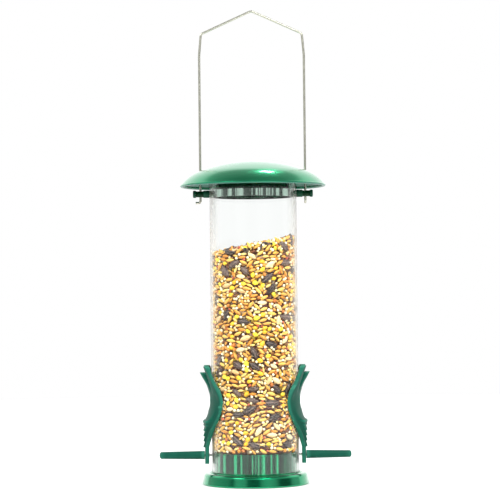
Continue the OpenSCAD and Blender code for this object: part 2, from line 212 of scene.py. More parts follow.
def edge_highlight_group():
    """Paler colour on the crests of edges, from the curvature of the mesh: a painted highlight."""
    tree, given, out = new_group(
        "edge_highlight",
        [("Colour", "colour"), ("Highlight Colour", "colour"), ("Amount", "float")],
        [("Colour", "colour")],
    )
    crest = put(tree, "ShaderNodeNewGeometry").outputs["Pointiness"]
    mask = put(tree, "ShaderNodeMapRange",
               {"Value": crest, "From Min": 0.505, "From Max": 0.56, "To Min": 0.0, "To Max": 1.0})
    mask = calculate(tree, "MULTIPLY", mask.outputs[0], given["Amount"], clamp=True)
    tree.links.new(blend(tree, mask, given["Colour"], given["Highlight Colour"]), out["Colour"])
    return tree


def reflection_stripes_group():
    """Darker stripes up a drawn shell, from a height upwards: a painted reflection of dark panels round it.
    """
    tree, given, out = new_group(
        "reflection_stripes",
        [("Colour", "colour"), ("Mask", "float"), ("Low", "float"), ("High", "float"), ("Depth", "float"),
         ("Start Height", "float")],
        [("Colour", "colour")],
    )
    reflection_darkening = put(tree, "ShaderNodeMapRange", {
        "Value": given["Mask"], "From Min": given["Low"], "From Max": given["High"],
        "To Min": calculate(tree, "SUBTRACT", 1.0, given["Depth"]),
    }, interpolation_type="SMOOTHSTEP").outputs[0]
    place = put(tree, "ShaderNodeTexCoord").outputs["Object"]
    height = put(tree, "ShaderNodeSeparateXYZ", {0: place}).outputs["Z"]
    above = calculate(tree, "SUBTRACT", height, given["Start Height"])
    with_painted_reflection = calculate(tree, "MULTIPLY", above, 1000.0, clamp=True)
    reflection_darkening = put(tree, "ShaderNodeMix", {"Factor": with_painted_reflection, "A": 1.0, "B": reflection_darkening}).outputs[0]
    painted = put(tree, "ShaderNodeVectorMath", {0: given["Colour"], "Scale": reflection_darkening}, operation="SCALE")
    tree.links.new(painted.outputs[0], out["Colour"])
    return tree


def primer_group():
    """Dull primer on the faces of a sheet that look down: its colour, and how metallic the paint is."""
    tree, given, out = new_group(
        "primer",
        [("Colour", "colour"), ("Primer", "colour"), ("Amount", "float")],
        [("Colour", "colour"), ("Metal", "float")],
    )
    facing = put(tree, "ShaderNodeNewGeometry").outputs["Normal"]
    way = put(tree, "ShaderNodeSeparateXYZ", {0: facing}).outputs["Z"]
    top = put(tree, "ShaderNodeMapRange", {"Value": way, "From Min": -0.3, "From Max": -0.1}).outputs[0]
    dull = calculate(tree, "MULTIPLY", calculate(tree, "SUBTRACT", 1.0, top), given["Amount"])
    tree.links.new(blend(tree, dull, given["Colour"], given["Primer"]), out["Colour"])
    tree.links.new(calculate(tree, "SUBTRACT", 1.0, dull), out["Metal"])
    return tree


def seed_skin_group():
    """Seed skin: each seed has its own tone, with stripes along it, fine speckle and shade behind."""
    tree, given, out = new_group(
        "seed_skin",
        [("Dark Colour", "colour"), ("Light Colour", "colour"), ("Shade Colour", "colour"),
         ("Stripes", "float"), ("Stripe Depth", "float")],
        [("Colour", "colour"), ("Height", "float")],
    )
    own = put(tree, "ShaderNodeAttribute", attribute_name="seed_grain").outputs["Vector"]
    axes = put(tree, "ShaderNodeSeparateXYZ", {0: own}).outputs
    place = put(tree, "ShaderNodeTexCoord").outputs["Object"]
    speckle = put(tree, "ShaderNodeTexNoise", {"Vector": place, "Scale": 1300.0, "Detail": 2.0})
    speckle = speckle.outputs["Fac"]
    wave = calculate(tree, "SINE", calculate(tree, "MULTIPLY", axes["Y"], given["Stripes"]))
    wave = calculate(tree, "MULTIPLY", wave, given["Stripe Depth"])
    fleck = calculate(tree, "MULTIPLY", calculate(tree, "SUBTRACT", speckle, 0.5), 0.7)
    tone = calculate(tree, "ADD", calculate(tree, "ABSOLUTE", axes["Z"]), wave)
    tone = calculate(tree, "ADD", tone, fleck)
    tone = put(tree, "ShaderNodeMapRange", {"Value": tone, "From Min": 0.05, "From Max": 0.85}).outputs[0]
    lit = blend(tree, tone, given["Dark Colour"], given["Light Colour"])
    depth = calculate(tree, "MULTIPLY", axes["Z"], -0.9, clamp=True)
    tree.links.new(blend(tree, depth, lit, given["Shade Colour"]), out["Colour"])
    tree.links.new(speckle, out["Height"])
    return tree


def group(name):
    """The node group of that name, made on first use."""
    makers = {
        "moulded_skin": moulded_skin_group, "spun_sheet": spun_sheet_group,
        "edge_highlight": edge_highlight_group, "reflection_stripes": reflection_stripes_group,
        "primer": primer_group, "seed_skin": seed_skin_group,
    }
    return bpy.data.node_groups.get(name) or makers[name]()


def use_group(tree, name, inputs):
    """Adds a node group and gives its outputs."""
    return put(tree, "ShaderNodeGroup", inputs, node_tree=group(name)).outputs


def new_material(name):
    """An empty node material: the material, its tree and its output's surface socket."""
    material = bpy.data.materials.new(name)
    material.use_nodes = True
    tree = material.node_tree
    tree.nodes.clear()
    return material, tree, tree.nodes.new("ShaderNodeOutputMaterial").inputs["Surface"]


def surface(tree, out, inputs):
    """Links a principled shader with the inputs given to the material's output."""
    tree.links.new(put(tree, "ShaderNodeBsdfPrincipled", inputs).outputs[0], out)


def bump(tree, height, strength, distance):
    """A normal from a height between 0 and 1, where distance is in metres."""
    inputs = {"Height": height, "Strength": strength, "Distance": distance}
    return put(tree, "ShaderNodeBump", inputs).outputs[0]


def moulded_plastic(name, tint, highlight_tint, roughness=0.46):
    """Injection-moulded plastic with a slightly cloudy colour, and paler edges that are a painted
    highlight.
    """
    found = bpy.data.materials.get(name)
    if found:
        return found
    material, tree, out = new_material(name)
    skin = use_group(tree, "moulded_skin", {
        "Colour": tint, "Depth": 0.5, "Cloud Scale": 90.0, "Grain Scale": 2600.0,
        "Roughness": roughness, "Unevenness": 0.18,
    })
    # Paler crests of the edges: a painted highlight
    edged = use_group(tree, "edge_highlight", {"Colour": skin["Colour"], "Highlight Colour": highlight_tint, "Amount": 0.5})
    surface(tree, out, {
        "Base Color": edged["Colour"], "Roughness": skin["Roughness"],
        "Normal": bump(tree, skin["Height"], 0.12, 0.0002), "IOR": 1.35, "Specular IOR Level": 0.2,
    })
    return material


def dark_plastic(colours):
    """The darker plastic of the pegs, the plug and the core of the base."""
    return moulded_plastic("dark_green", colours.dark_moulding, EDGE_HIGHLIGHT_DARK_GREEN, 0.28)


def green_lacquer(name, tint, roughness, streaks, streaks_from, under, coat):
    """Clear-coated metallic paint on sheet: darker stripes round a shell that are a painted reflection,
    dull primer under a dome.
    """
    material, tree, out = new_material(name)
    sheet = use_group(tree, "spun_sheet", {"Ring Scale": 1400.0, "Streak Scale": 9.0, "Streaks": streaks})
    skin = use_group(tree, "moulded_skin", {
        "Colour": tint, "Depth": 0.3, "Cloud Scale": 45.0, "Grain Scale": 5200.0,
        "Roughness": roughness, "Unevenness": 0.06,
    })
    # Darker stripes along the streaks: painted reflection
    with_painted_reflection = use_group(tree, "reflection_stripes", {
        "Colour": skin["Colour"], "Mask": sheet["Mask"], "Low": 0.46, "High": 0.62, "Depth": 1.2 * streaks,
        "Start Height": streaks_from,
    })
    paint = use_group(tree, "primer", {
        "Colour": with_painted_reflection["Colour"], "Primer": PRIMER, "Amount": under,
    })
    height = calculate(tree, "ADD", sheet["Height"], calculate(tree, "MULTIPLY", skin["Height"], 0.3))
    surface(tree, out, {
        "Base Color": paint["Colour"], "Metallic": paint["Metal"], "Roughness": skin["Roughness"],
        "Normal": bump(tree, height, 0.05, 0.0004), "Coat Roughness": 0.03, "Coat IOR": 1.5,
        "Coat Weight": calculate(tree, "MULTIPLY", paint["Metal"], coat),
    })
    return material


def bare_metal(name, tint, roughness, scale=1800.0, streaks=0.0):
    """Bare or plated metal with fine drawing grain in its bump, and darker stripes up a drawn band that are
    a painted reflection.
    """
    found = bpy.data.materials.get(name)
    if found:
        return found
    material, tree, out = new_material(name)
    sheet = use_group(tree, "spun_sheet", {"Ring Scale": 1400.0, "Streak Scale": 5.0, "Streaks": streaks})
    skin = use_group(tree, "moulded_skin", {
        "Colour": tint, "Depth": 0.3, "Cloud Scale": 300.0, "Grain Scale": scale,
        "Roughness": roughness, "Unevenness": 0.15,
    })
    # Darker stripes along the streaks: painted reflection
    with_painted_reflection = use_group(tree, "reflection_stripes", {
        "Colour": skin["Colour"], "Mask": sheet["Mask"], "Low": 0.45, "High": 0.55, "Depth": streaks,
        "Start Height": 0.0,
    })
    surface(tree, out, {
        "Base Color": with_painted_reflection["Colour"], "Metallic": 1.0, "Roughness": skin["Roughness"],
        "Normal": bump(tree, skin["Height"], 0.08, 0.0002),
    })
    return material


def clear_tube(name):
    """Clear extruded plastic that lets lamps through to the seed."""
    material, tree, out = new_material(name)
    sheet = use_group(tree, "spun_sheet", {"Ring Scale": 8.0, "Streak Scale": 5.0, "Streaks": 0.8})
    glass = put(tree, "ShaderNodeBsdfPrincipled", {
        "Base Color": (0.985, 0.995, 0.99), "Roughness": 0.0, "IOR": 1.32, "Transmission Weight": 1.0,
        "Normal": bump(tree, sheet["Height"], 0.03, 0.0006),
    })
    see_through = put(tree, "ShaderNodeBsdfTransparent", {"Color": (0.96, 0.97, 0.965)})
    shadow = put(tree, "ShaderNodeLightPath").outputs["Is Shadow Ray"]
    haze = put(tree, "ShaderNodeBsdfTranslucent", {"Color": (0.95, 0.94, 0.9)})
    edge = put(tree, "ShaderNodeLayerWeight", {"Blend": 0.5}).outputs["Facing"]
    edge = put(tree, "ShaderNodeMapRange", {
        "Value": edge, "From Min": 0.38, "From Max": 0.8, "To Max": 0.45,
    })
    hazy = put(tree, "ShaderNodeMixShader", {0: edge.outputs[0], 1: glass.outputs[0], 2: haze.outputs[0]})
    mixed = put(tree, "ShaderNodeMixShader", {0: shadow, 1: hazy.outputs[0], 2: see_through.outputs[0]})
    tree.links.new(mixed.outputs[0], out)
    return material


def dress(node, material):
    """Puts a finish on a CAD node in place of its plain ones."""
    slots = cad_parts[node].data.materials
    slots.clear()
    slots.append(material)


# ---- Meshes ----


def smoothstep(a, b, x):
    """0 below a, 1 above b, and a smooth rise between them."""
    t = min(max((x - a) / (b - a), 0.0), 1.0)
    return t * t * (3 - 2 * t)


def curve_through(points):
    """A smooth function through (x, y) points, flat past its ends."""
    xs, ys = [p[0] for p in points], [p[1] for p in points]
    slopes = [(ys[i + 1] - ys[i]) / (xs[i + 1] - xs[i]) for i in range(len(xs) - 1)]
    tangents = [slopes[0], *[
        0.0 if a * b <= 0 else 2 * a * b / (a + b) for a, b in zip(slopes, slopes[1:])
    ], slopes[-1]]

    def value(x):
        if x <= xs[0]:
            return ys[0]
        if x >= xs[-1]:
            return ys[-1]
        i = max(k for k in range(len(xs) - 1) if xs[k] <= x)
        h = xs[i + 1] - xs[i]
        t = (x - xs[i]) / h
        return (
            ys[i] * (1 + 2 * t) * (1 - t) ** 2 + ys[i + 1] * t * t * (3 - 2 * t)
            + h * (tangents[i] * t * (1 - t) ** 2 - tangents[i + 1] * t * t * (1 - t))
        )

    return value


def add_piece(name, bm, material, nodes):
    """Makes a piece of the feeder at the origin, with its place in its mesh, for the CAD nodes named."""
    bmesh.ops.remove_doubles(bm, verts=bm.verts, dist=1e-6)
    bmesh.ops.recalc_face_normals(bm, faces=bm.faces)
    for face in bm.faces:
        face.smooth = True
    for edge in bm.edges:
        edge.smooth = len(edge.link_faces) == 2 and edge.calc_face_angle(0.0) < SHARP_ANGLE
    mesh = bpy.data.meshes.new(name)
    bm.to_mesh(mesh)
    bm.free()
    mesh.materials.append(material)
    piece = bpy.data.objects.new(name, mesh)
    bpy.context.scene.collection.objects.link(piece)
    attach(piece, "feeder")
    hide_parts(*nodes)


# ---- Feeding ports ----

# Half width of the shield, and radii of its outer skin, against height in millimetres
HALF_WIDTH = curve_through([
    (15.2, 3.9), (27, 4.1), (31.7, 5.0), (36.9, 8.4), (43.4, 14.6), (48.6, 18.5), (55, 21.4),
    (62, 22.4), (67, 21.6), (74, 18.4), (79, 16.4), (83, 15.4), (88, 14.8),
])
SIDE_SKIN = curve_through([
    (15.2, 37.7), (26, 37.4), (32, 36.6), (37, 35.9), (43, 35.2), (48.6, 34.7), (55, 34.3),
    (61, 34.2), (67, 34.6), (74, 35.9), (79, 37.1), (83, 38.3), (88, 39.9),
])
MIDDLE_SKIN = curve_through([
    (15.2, 37.7), (26.5, 37.7), (28, 37.9), (45.2, 38.0), (46.0, 38.7), (46.8, 39.0), (47.5, 38.9),
    (48.1, 37.6), (51.2, 35.8), (56.5, 34.6), (60, 34.2), (64, 34.0), (67.5, 34.3), (70.8, 35.0),
    (74.1, 36.2), (79.3, 39.1), (82.9, 41.0),
])
BACK_SKIN = curve_through([
    (15.2, 34.8), (26.4, 34.8), (31, 33.8), (36, 32.9), (38.5, 32.65), (70, 32.65), (74, 33.4),
    (79, 34.6), (83, 35.6), (88, 36.6),
])
CREST = curve_through([
    (0, 83.0), (0.4, 83.0), (0.48, 82.5), (0.55, 81.0), (0.6, 80.6), (0.65, 81.6), (0.7, 85.2),
    (0.75, 87.3), (0.82, 88.0), (0.92, 88.0), (1.0, 86.9),
])
# Ribs, petal, rounded edges and spigot of a port in millimetres
RIB_FEET = 27.53
RIB_PITCH = 3.95
RIB_COUNT = 5
PETAL_FOOT = 66.0
PETAL_WALL = 2.5
EDGE_ROUND = 0.32
SPIGOT_WALL = 1.3
SPIGOT_BACK = 33.4
SPIGOT_REACH = 3.5
SPIGOT_CHAMFER = 0.3


def skin_radius(y, z):
    """Radius of the shield's outer skin: side bands, dish, tray lip, ribs, petal and horns."""
    half = HALF_WIDTH(z)
    from_edge = half - abs(y)
    share = abs(y) / half
    side, middle = SIDE_SKIN(z), MIDDLE_SKIN(z)
    inner = smoothstep(1.0, 4.2, from_edge)
    rib = (z - RIB_FEET) / RIB_PITCH
    if 0 <= rib < RIB_COUNT:
        step = 1.05 * (1 - (rib - math.floor(rib)))
        middle += step * smoothstep(1.4, 2.2, from_edge)
    dish = side + (middle - side) * inner
    open_up = smoothstep(PETAL_FOOT, PETAL_FOOT + 14, z)
    if open_up == 0:
        return dish
    petal = 1 - smoothstep(0.44, 0.56, share)
    horn = smoothstep(0.62, 0.74, share)
    valley = 1 - petal - horn
    flared = petal * middle + horn * side + valley * (min(middle, side) - 2.4 * open_up)
    blend = smoothstep(PETAL_FOOT - 1, PETAL_FOOT + 5, z)
    return dish + (flared - dish) * blend


def back_radius(y, z):
    """Radius of the shield's inner skin, which lies on the tube and follows the flare above it."""
    if z <= 70:
        return BACK_SKIN(z)
    share = abs(y) / HALF_WIDTH(z)
    return max(BACK_SKIN(z), skin_radius(y, z) - PETAL_WALL - 0.9 * smoothstep(0.6, 0.8, share))


def shield_mesh(bm, axis_z, bore_r):
    """Adds the shield of a right-hand port: two skins bridged round the outline and round the bore."""
    columns, low_rows, high_rows = 56, 103, 46
    rows = low_rows + high_rows
    bmesh.ops.create_grid(bm, x_segments=columns, y_segments=rows, size=1.0)
    for v in bm.verts:
        row = (v.co.y + 1) / 2 * rows
        share = v.co.x
        if row <= low_rows:
            z = PORT_LOW + (PETAL_FOOT - PORT_LOW) * row / low_rows
        else:
            z = PETAL_FOOT + (CREST(abs(share)) - PETAL_FOOT) * (row - low_rows) / high_rows
        v.co = (0.0, share * HALF_WIDTH(z), z)
    centre = Vector((0, 0, axis_z))
    for v in bm.verts:
        away = v.co - centre
        if abs(away.length - bore_r) < 0.36:
            v.co = centre + away.normalized() * bore_r
    gone = [f for f in bm.faces if (f.calc_center_median() - centre).length < bore_r]
    bmesh.ops.delete(bm, geom=gone, context="FACES")
    for e in bm.edges:
        if e.is_boundary:
            for v in e.verts:
                away = v.co - centre
                if away.length < bore_r + 1.2:
                    v.co = centre + away.normalized() * bore_r
    copied = bmesh.ops.duplicate(bm, geom=bm.verts[:] + bm.edges[:] + bm.faces[:])["geom"]
    inner_verts = {g for g in copied if isinstance(g, bmesh.types.BMVert)}
    rims = {}
    for e in bm.edges:
        if e.is_boundary:
            middle = (e.verts[0].co + e.verts[1].co) / 2
            rims.setdefault((middle - centre).length < bore_r + 0.6, []).append(e)
    for v in bm.verts:
        radius = back_radius(v.co.y, v.co.z) if v in inner_verts else skin_radius(v.co.y, v.co.z)
        v.co.x = math.sqrt(radius * radius - v.co.y * v.co.y)
    wall_faces = set()
    for loop in rims.values():
        wall_faces.update(bmesh.ops.bridge_loops(bm, edges=loop)["faces"])
    edges = {
        e for f in wall_faces for e in f.edges if any(g not in wall_faces for g in e.link_faces)
    }
    bmesh.ops.recalc_face_normals(bm, faces=bm.faces)
    bmesh.ops.bevel(
        bm, geom=list(edges), offset=EDGE_ROUND, offset_type="OFFSET", segments=2, profile=0.5,
        affect="EDGES", material=-1, clamp_overlap=True,
    )


def ring_mesh(bm, profile):
    """Spins a closed (x, radius) profile round the X axis."""
    verts = [bm.verts.new((x, 0, r)) for x, r in profile]
    edges = [bm.edges.new((verts[i - 1], verts[i])) for i in range(len(verts))]
    bmesh.ops.spin(
        bm, geom=verts + edges, cent=(0, 0, 0), axis=(1, 0, 0), angle=2 * math.pi, steps=64,
        use_merge=True, use_duplicate=False,
    )


class FEEDER_OT_ports(bpy.types.Operator):
    """Makes the two feeding ports and dresses the baffles behind them."""

    bl_idname = "feeder.ports"
    bl_label = "Feeding Ports"

    def execute(self, context):
        sizes, colours = context.scene.feeder_sizes, context.scene.feeder_colours
        green = moulded_plastic("port_green", colours.moulding, EDGE_HIGHLIGHT_GREEN)
        axis_z, bore_r = sizes.port_axis / MM, sizes.port_bore / MM / 2
        for side, name in ((1, "port_right"), (-1, "port_left")):
            bm = bmesh.new()
            shield_mesh(bm, axis_z, bore_r)
            spigot = bmesh.new()
            inner, outer, end = bore_r + 0.02, bore_r + SPIGOT_WALL, BORE_R - SPIGOT_REACH
            ring_mesh(spigot, [
                (SPIGOT_BACK, inner), (end + SPIGOT_CHAMFER, inner), (end, inner + SPIGOT_CHAMFER),
                (end, outer - SPIGOT_CHAMFER), (end + SPIGOT_CHAMFER, outer), (SPIGOT_BACK, outer),
            ])
            bmesh.ops.translate(spigot, vec=(0, 0, axis_z), verts=spigot.verts)
            bmesh.ops.recalc_face_normals(spigot, faces=spigot.faces)
            part = bpy.data.meshes.new("spigot")
            spigot.to_mesh(part)
            spigot.free()
            bm.from_mesh(part)
            bpy.data.meshes.remove(part)
            if side < 0:
                half_turn = Matrix.Rotation(math.pi, 3, "Z")
                bmesh.ops.rotate(bm, cent=(0, 0, 0), matrix=half_turn, verts=bm.verts)
            bmesh.ops.scale(bm, vec=(MM, MM, MM), verts=bm.verts)
            add_piece(name + "_moulding", bm, green, [name])
        for node in ("baffle_left", "baffle_right"):
            dress(node, green)
        return {"FINISHED"}


class FEEDER_OT_perches(bpy.types.Operator):
    """Dresses the two perches and the steel rod that carries them."""

    bl_idname = "feeder.perches"
    bl_label = "Perches and Rod"

    def execute(self, context):
        colours = context.scene.feeder_colours
        green = moulded_plastic("perch_green", colours.moulding, EDGE_HIGHLIGHT_GREEN, 0.42)
        for node in ("perch_left", "perch_right"):
            dress(node, green)
        dress("perch_rod", bare_metal("rod_steel", STEEL, 0.28))
        return {"FINISHED"}


class FEEDER_OT_tube(bpy.types.Operator):
    """Dresses the clear tube."""

    bl_idname = "feeder.tube"
    bl_label = "Clear Tube"

    def execute(self, context):
        dress("tube", clear_tube("clear_tube"))
        return {"FINISHED"}


class FEEDER_OT_collar(bpy.types.Operator):
    """Dresses the collar ring, the pegs and their screws."""

    bl_idname = "feeder.collar"
    bl_label = "Collar and Pegs"

    def execute(self, context):
        colours = context.scene.feeder_colours
        # The collar's darker stripes are painted reflection
        dress("collar_ring", bare_metal("collar_metal", colours.collar, 0.1, streaks=0.85))
        dress("peg_screws", bare_metal("screw_steel", (0.5, 0.5, 0.48), 0.3))
        for node in ("peg_left", "peg_right"):
            dress(node, dark_plastic(colours))
        return {"FINISHED"}


class FEEDER_OT_bail(bpy.types.Operator):
    """Dresses the wire bail."""

    bl_idname = "feeder.bail"
    bl_label = "Wire Bail"

    def execute(self, context):
        dress("bail", bare_metal("bail_wire", context.scene.feeder_colours.wire, 0.34, 3200.0))
        return {"FINISHED"}


class FEEDER_OT_roof(bpy.types.Operator):
    """Dresses the dome, and the plug and its fixings under it."""

    bl_idname = "feeder.roof"
    bl_label = "Roof"

    def execute(self, context):
        colours = context.scene.feeder_colours
        dress("roof_dome", green_lacquer("dome_lacquer", colours.lacquer, 0.3, 0.0, 0.0, 1.0, 0.9))
        dress("roof_plug", dark_plastic(colours))
        steel = bare_metal("fixing_steel", STEEL, 0.3)
        for node in ("roof_stud", "roof_washer", "roof_nut"):
            dress(node, steel)
        return {"FINISHED"}


class FEEDER_OT_base(bpy.types.Operator):
    """Dresses the lacquered shell of the base and the moulded core inside it."""

    bl_idname = "feeder.base"
    bl_label = "Base"

    def execute(self, context):
        colours = context.scene.feeder_colours
        # The shell's darker stripes above the seat are painted reflection
        dress("base_shell", green_lacquer("base_lacquer", colours.lacquer, 0.2, 0.8, 0.009, 0.0, 0.7))
        dress("base_core", dark_plastic(colours))
        return {"FINISHED"}


# ---- Seed ----

# Kind: length, width, thickness (mm), how pointed the ends are, share of the wall, two colours, gloss
SEED_KINDS = {
    "sunflower": (10.2, 5.4, 3.6, 0.75, 0.11, (0.030, 0.020, 0.016), (0.16, 0.105, 0.085), 0.5),
    "hulled": (8.0, 4.0, 3.0, 0.6, 0.05, (0.75, 0.46, 0.18), (0.96, 0.76, 0.42), 0.5),
    "maize": (4.6, 3.7, 2.6, 0.1, 0.08, (0.90, 0.48, 0.01), (1.00, 0.80, 0.04), 0.35),
    "oat": (6.8, 2.6, 2.2, 0.7, 0.22, (0.68, 0.25, 0.02), (0.97, 0.60, 0.12), 0.45),
    "canary": (4.9, 2.1, 1.8, 0.65, 0.20, (0.74, 0.32, 0.03), (1.00, 0.74, 0.22), 0.4),
    "milo": (3.4, 3.0, 2.8, 0.0, 0.08, (0.52, 0.15, 0.02), (0.85, 0.36, 0.05), 0.35),
    "husk": (3.4, 1.6, 1.2, 0.5, 0.03, (0.10, 0.025, 0.012), (0.25, 0.08, 0.035), 0.5),
    "millet": (2.4, 2.2, 2.0, 0.0, 0.36, (0.90, 0.68, 0.28), (1.00, 0.96, 0.70), 0.35),
    "red_millet": (2.3, 2.1, 1.9, 0.0, 0.06, (0.38, 0.055, 0.03), (0.68, 0.15, 0.06), 0.35),
}


# Gaps and depths of the layers of seed in millimetres, and how many seeds lie loose
WALL_GAP = 0.12
FLOOR_GAP = 1.4
LAYER_STEP = 2.2
HEAP_DEPTH = 5.0
SEEDS_ON_TOP = 1500
SEEDS_IN_MOUTH = 330


def seed_material(kind, dark, light, gloss):
    """The skin of one kind of seed; sunflower seeds have broad stripes."""
    material, tree, out = new_material("seed_" + kind)
    striped = kind == "sunflower"
    skin = use_group(tree, "seed_skin", {
        "Dark Colour": dark, "Light Colour": light, "Shade Colour": SEED_SHADE,
        "Stripes": 9.0 if striped else 3.0, "Stripe Depth": 0.4 if striped else 0.12,
    })
    surface(tree, out, {
        "Base Color": skin["Colour"], "Roughness": gloss,
        "Normal": bump(tree, skin["Height"], 0.25, 0.0002),
    })
    return material


def seed_template(kind):
    """One seed of a kind, a few dozen faces: its points, its faces and its grain coordinates."""
    length, width, thick, pointed = SEED_KINDS[kind][:4]
    bm = bmesh.new()
    around, along = (8, 6) if length > 6 else (7, 4)
    bmesh.ops.create_uvsphere(bm, u_segments=around, v_segments=along, radius=1.0)
    bmesh.ops.rotate(bm, cent=(0, 0, 0), matrix=Matrix.Rotation(math.pi / 2, 3, "Y"), verts=bm.verts)
    for v in bm.verts:
        pinch = 1 - pointed * abs(v.co.x) ** 1.6 * 0.55
        if kind == "maize":
            pinch = 1 - 0.45 * max(0.0, v.co.x)
        grain = v.co.y
        v.co = Vector((v.co.x * length / 2, grain * pinch * width / 2, v.co.z * pinch * thick / 2))
    bm.verts.ensure_lookup_table()
    points = np.array([v.co[:] for v in bm.verts])
    faces = [[v.index for v in f.verts] for f in bm.faces]
    bm.free()
    grain = np.stack([points[:, 0] / (length / 2), points[:, 1] / (width / 2)], axis=1)
    return points, faces, grain


def slope_height(x, slope):
    """Height of the top of the seed at x, in millimetres."""
    return SEED_HIGH - (BORE_R - SEED_GAP - x) * math.tan(slope)


def seed_turn(out_from_axis, lean, tip, roll):
    """Rotation that lays a seed on the wall: long side at lean from level, thin side outwards."""
    angle = math.atan2(out_from_axis[1], out_from_axis[0])
    level = Vector((-math.sin(angle), math.cos(angle), 0))
    outward = Vector((math.cos(angle), math.sin(angle), 0))
    up = Vector((0, 0, 1))
    long_side = level * math.cos(lean) + up * math.sin(lean)
    across = outward.cross(long_side)
    turn = Matrix((long_side, across, outward)).transposed()
    return turn @ Matrix.Rotation(tip, 3, "Y") @ Matrix.Rotation(roll, 3, "X")


def wall_layer(draw, middle_r, low, slope, slack, sink, tones):
    """Seeds laid against the wall without much overlap: (kind, place, turn, tone) of each.

    Drifts of small round seed alternate with drifts of long seed.
    """
    placed, cells, cell = [], {}, 4.0
    circle = 2 * math.pi * middle_r
    columns = int(circle // cell) + 1
    wall = circle * (SEED_HIGH - low)

    def free(spots):
        for s, z, r in spots:
            i, j = int(s // cell), int(z // cell)
            for di in (-2, -1, 0, 1, 2):
                for dj in (-2, -1, 0, 1, 2):
                    for s2, z2, r2 in cells.get(((i + di) % columns, j + dj), ()):
                        gap = abs(s - s2)
                        gap = min(gap, circle - gap)
                        if gap * gap + (z - z2) ** 2 < ((r + r2) * slack) ** 2:
                            return False
        return True

    for kind, (length, width, thick, _, share, *_) in SEED_KINDS.items():
        wanted = int(share * wall / (length * width * 0.7))
        for _ in range(wanted * 14):
            if not wanted:
                break
            s = draw.uniform(0, circle)
            angle = s / middle_r
            x = middle_r * math.cos(angle)
            z = draw.uniform(low, slope_height(x, slope) - thick * 0.3)
            drift = 0.5 + 0.5 * math.sin(3 * angle + 0.05 * z + 0.6) * math.cos(0.11 * z - 2 * angle)
            if draw.random() > (1.0 if length > 7 else 1.15 - drift if length > 4 else 0.3 + drift):
                continue
            lean = draw.gauss(0, 0.6) if length > 4 else draw.uniform(-1.5, 1.5)
            size = draw.uniform(0.84, 1.12)
            beads = max(1, round(length / width))
            spots = []
            for k in range(beads):
                t = (k - (beads - 1) / 2) * (length - width) / max(beads - 1, 1) * size
                spots.append(((s + t * math.cos(lean)) % circle, z + t * math.sin(lean), width / 2 * size))
            if not free(spots):
                continue
            for spot in spots:
                key = (int(spot[0] // cell), int(spot[1] // cell))
                cells.setdefault(key, []).append(spot)
            r = middle_r - thick / 2 * size - draw.uniform(0, sink)
            place = Vector((r * math.cos(angle), r * math.sin(angle), z))
            turn = seed_turn(place, lean, draw.gauss(0, 0.16), draw.gauss(0, 0.3))
            placed.append((kind, place, turn * size, draw.uniform(*tones)))
            wanted -= 1
    return placed


def loose_seeds(draw, count, spot, weights):
    """Seeds in any direction at places that spot() gives."""
    kinds = list(weights)
    found = []
    for _ in range(count):
        kind = draw.choices(kinds, [weights[k] for k in kinds])[0]
        place = spot(SEED_KINDS[kind])
        if place is None:
            continue
        spin = Matrix.Rotation(draw.uniform(0, 2 * math.pi), 3, "Z")
        tilt = Matrix.Rotation(draw.gauss(0, 0.45), 3, "X") @ Matrix.Rotation(draw.gauss(0, 0.45), 3, "Y")
        found.append((kind, Vector(place), spin @ tilt * draw.uniform(0.86, 1.1), draw.random()))
    return found


def seed_object(kind, seeds, material):
    """Joins the placed seeds of one kind into a piece; each keeps its own tone."""
    shape, polygons, grain = seed_template(kind)
    points = np.concatenate([shape @ np.array(turn).T + np.array(place) for place, turn, _ in seeds])
    faces = [
        [start + i for i in polygon] for start in range(0, len(points), len(shape)) for polygon in polygons
    ]
    grains = np.concatenate([
        np.column_stack([grain, np.full(len(shape), tone)]) for *_, tone in seeds
    ])
    mesh = bpy.data.meshes.new("seed_" + kind)
    mesh.from_pydata((points * MM).tolist(), [], faces)
    mesh.polygons.foreach_set("use_smooth", [True] * len(faces))
    attribute = mesh.attributes.new("seed_grain", "FLOAT_VECTOR", "POINT")
    attribute.data.foreach_set("vector", grains.astype(np.float32).ravel())
    mesh.materials.append(material)
    piece = bpy.data.objects.new("seed_" + kind, mesh)
    bpy.context.scene.collection.objects.link(piece)
    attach(piece, "feeder")


def heap_material():
    """The shaded seed behind the outer layers: dark cells of brown and straw."""
    material, tree, out = new_material("seed_in_shade")
    place = put(tree, "ShaderNodeTexCoord").outputs["Object"]
    cells = put(tree, "ShaderNodeTexVoronoi", {"Vector": place, "Scale": 420.0})
    ramp = put(tree, "ShaderNodeValToRGB", {"Fac": put(tree, "ShaderNodeSeparateColor", {
        0: cells.outputs["Color"]}).outputs[0]})
    ramp.color_ramp.elements[0].color = (0.08, 0.016, 0.008, 1)
    ramp.color_ramp.elements[1].color = (0.30, 0.09, 0.03, 1)
    surface(tree, out, {
        "Base Color": ramp.outputs[0], "Roughness": 0.7,
        "Normal": bump(tree, cells.outputs["Distance"], 0.6, 0.001),
    })
    return material


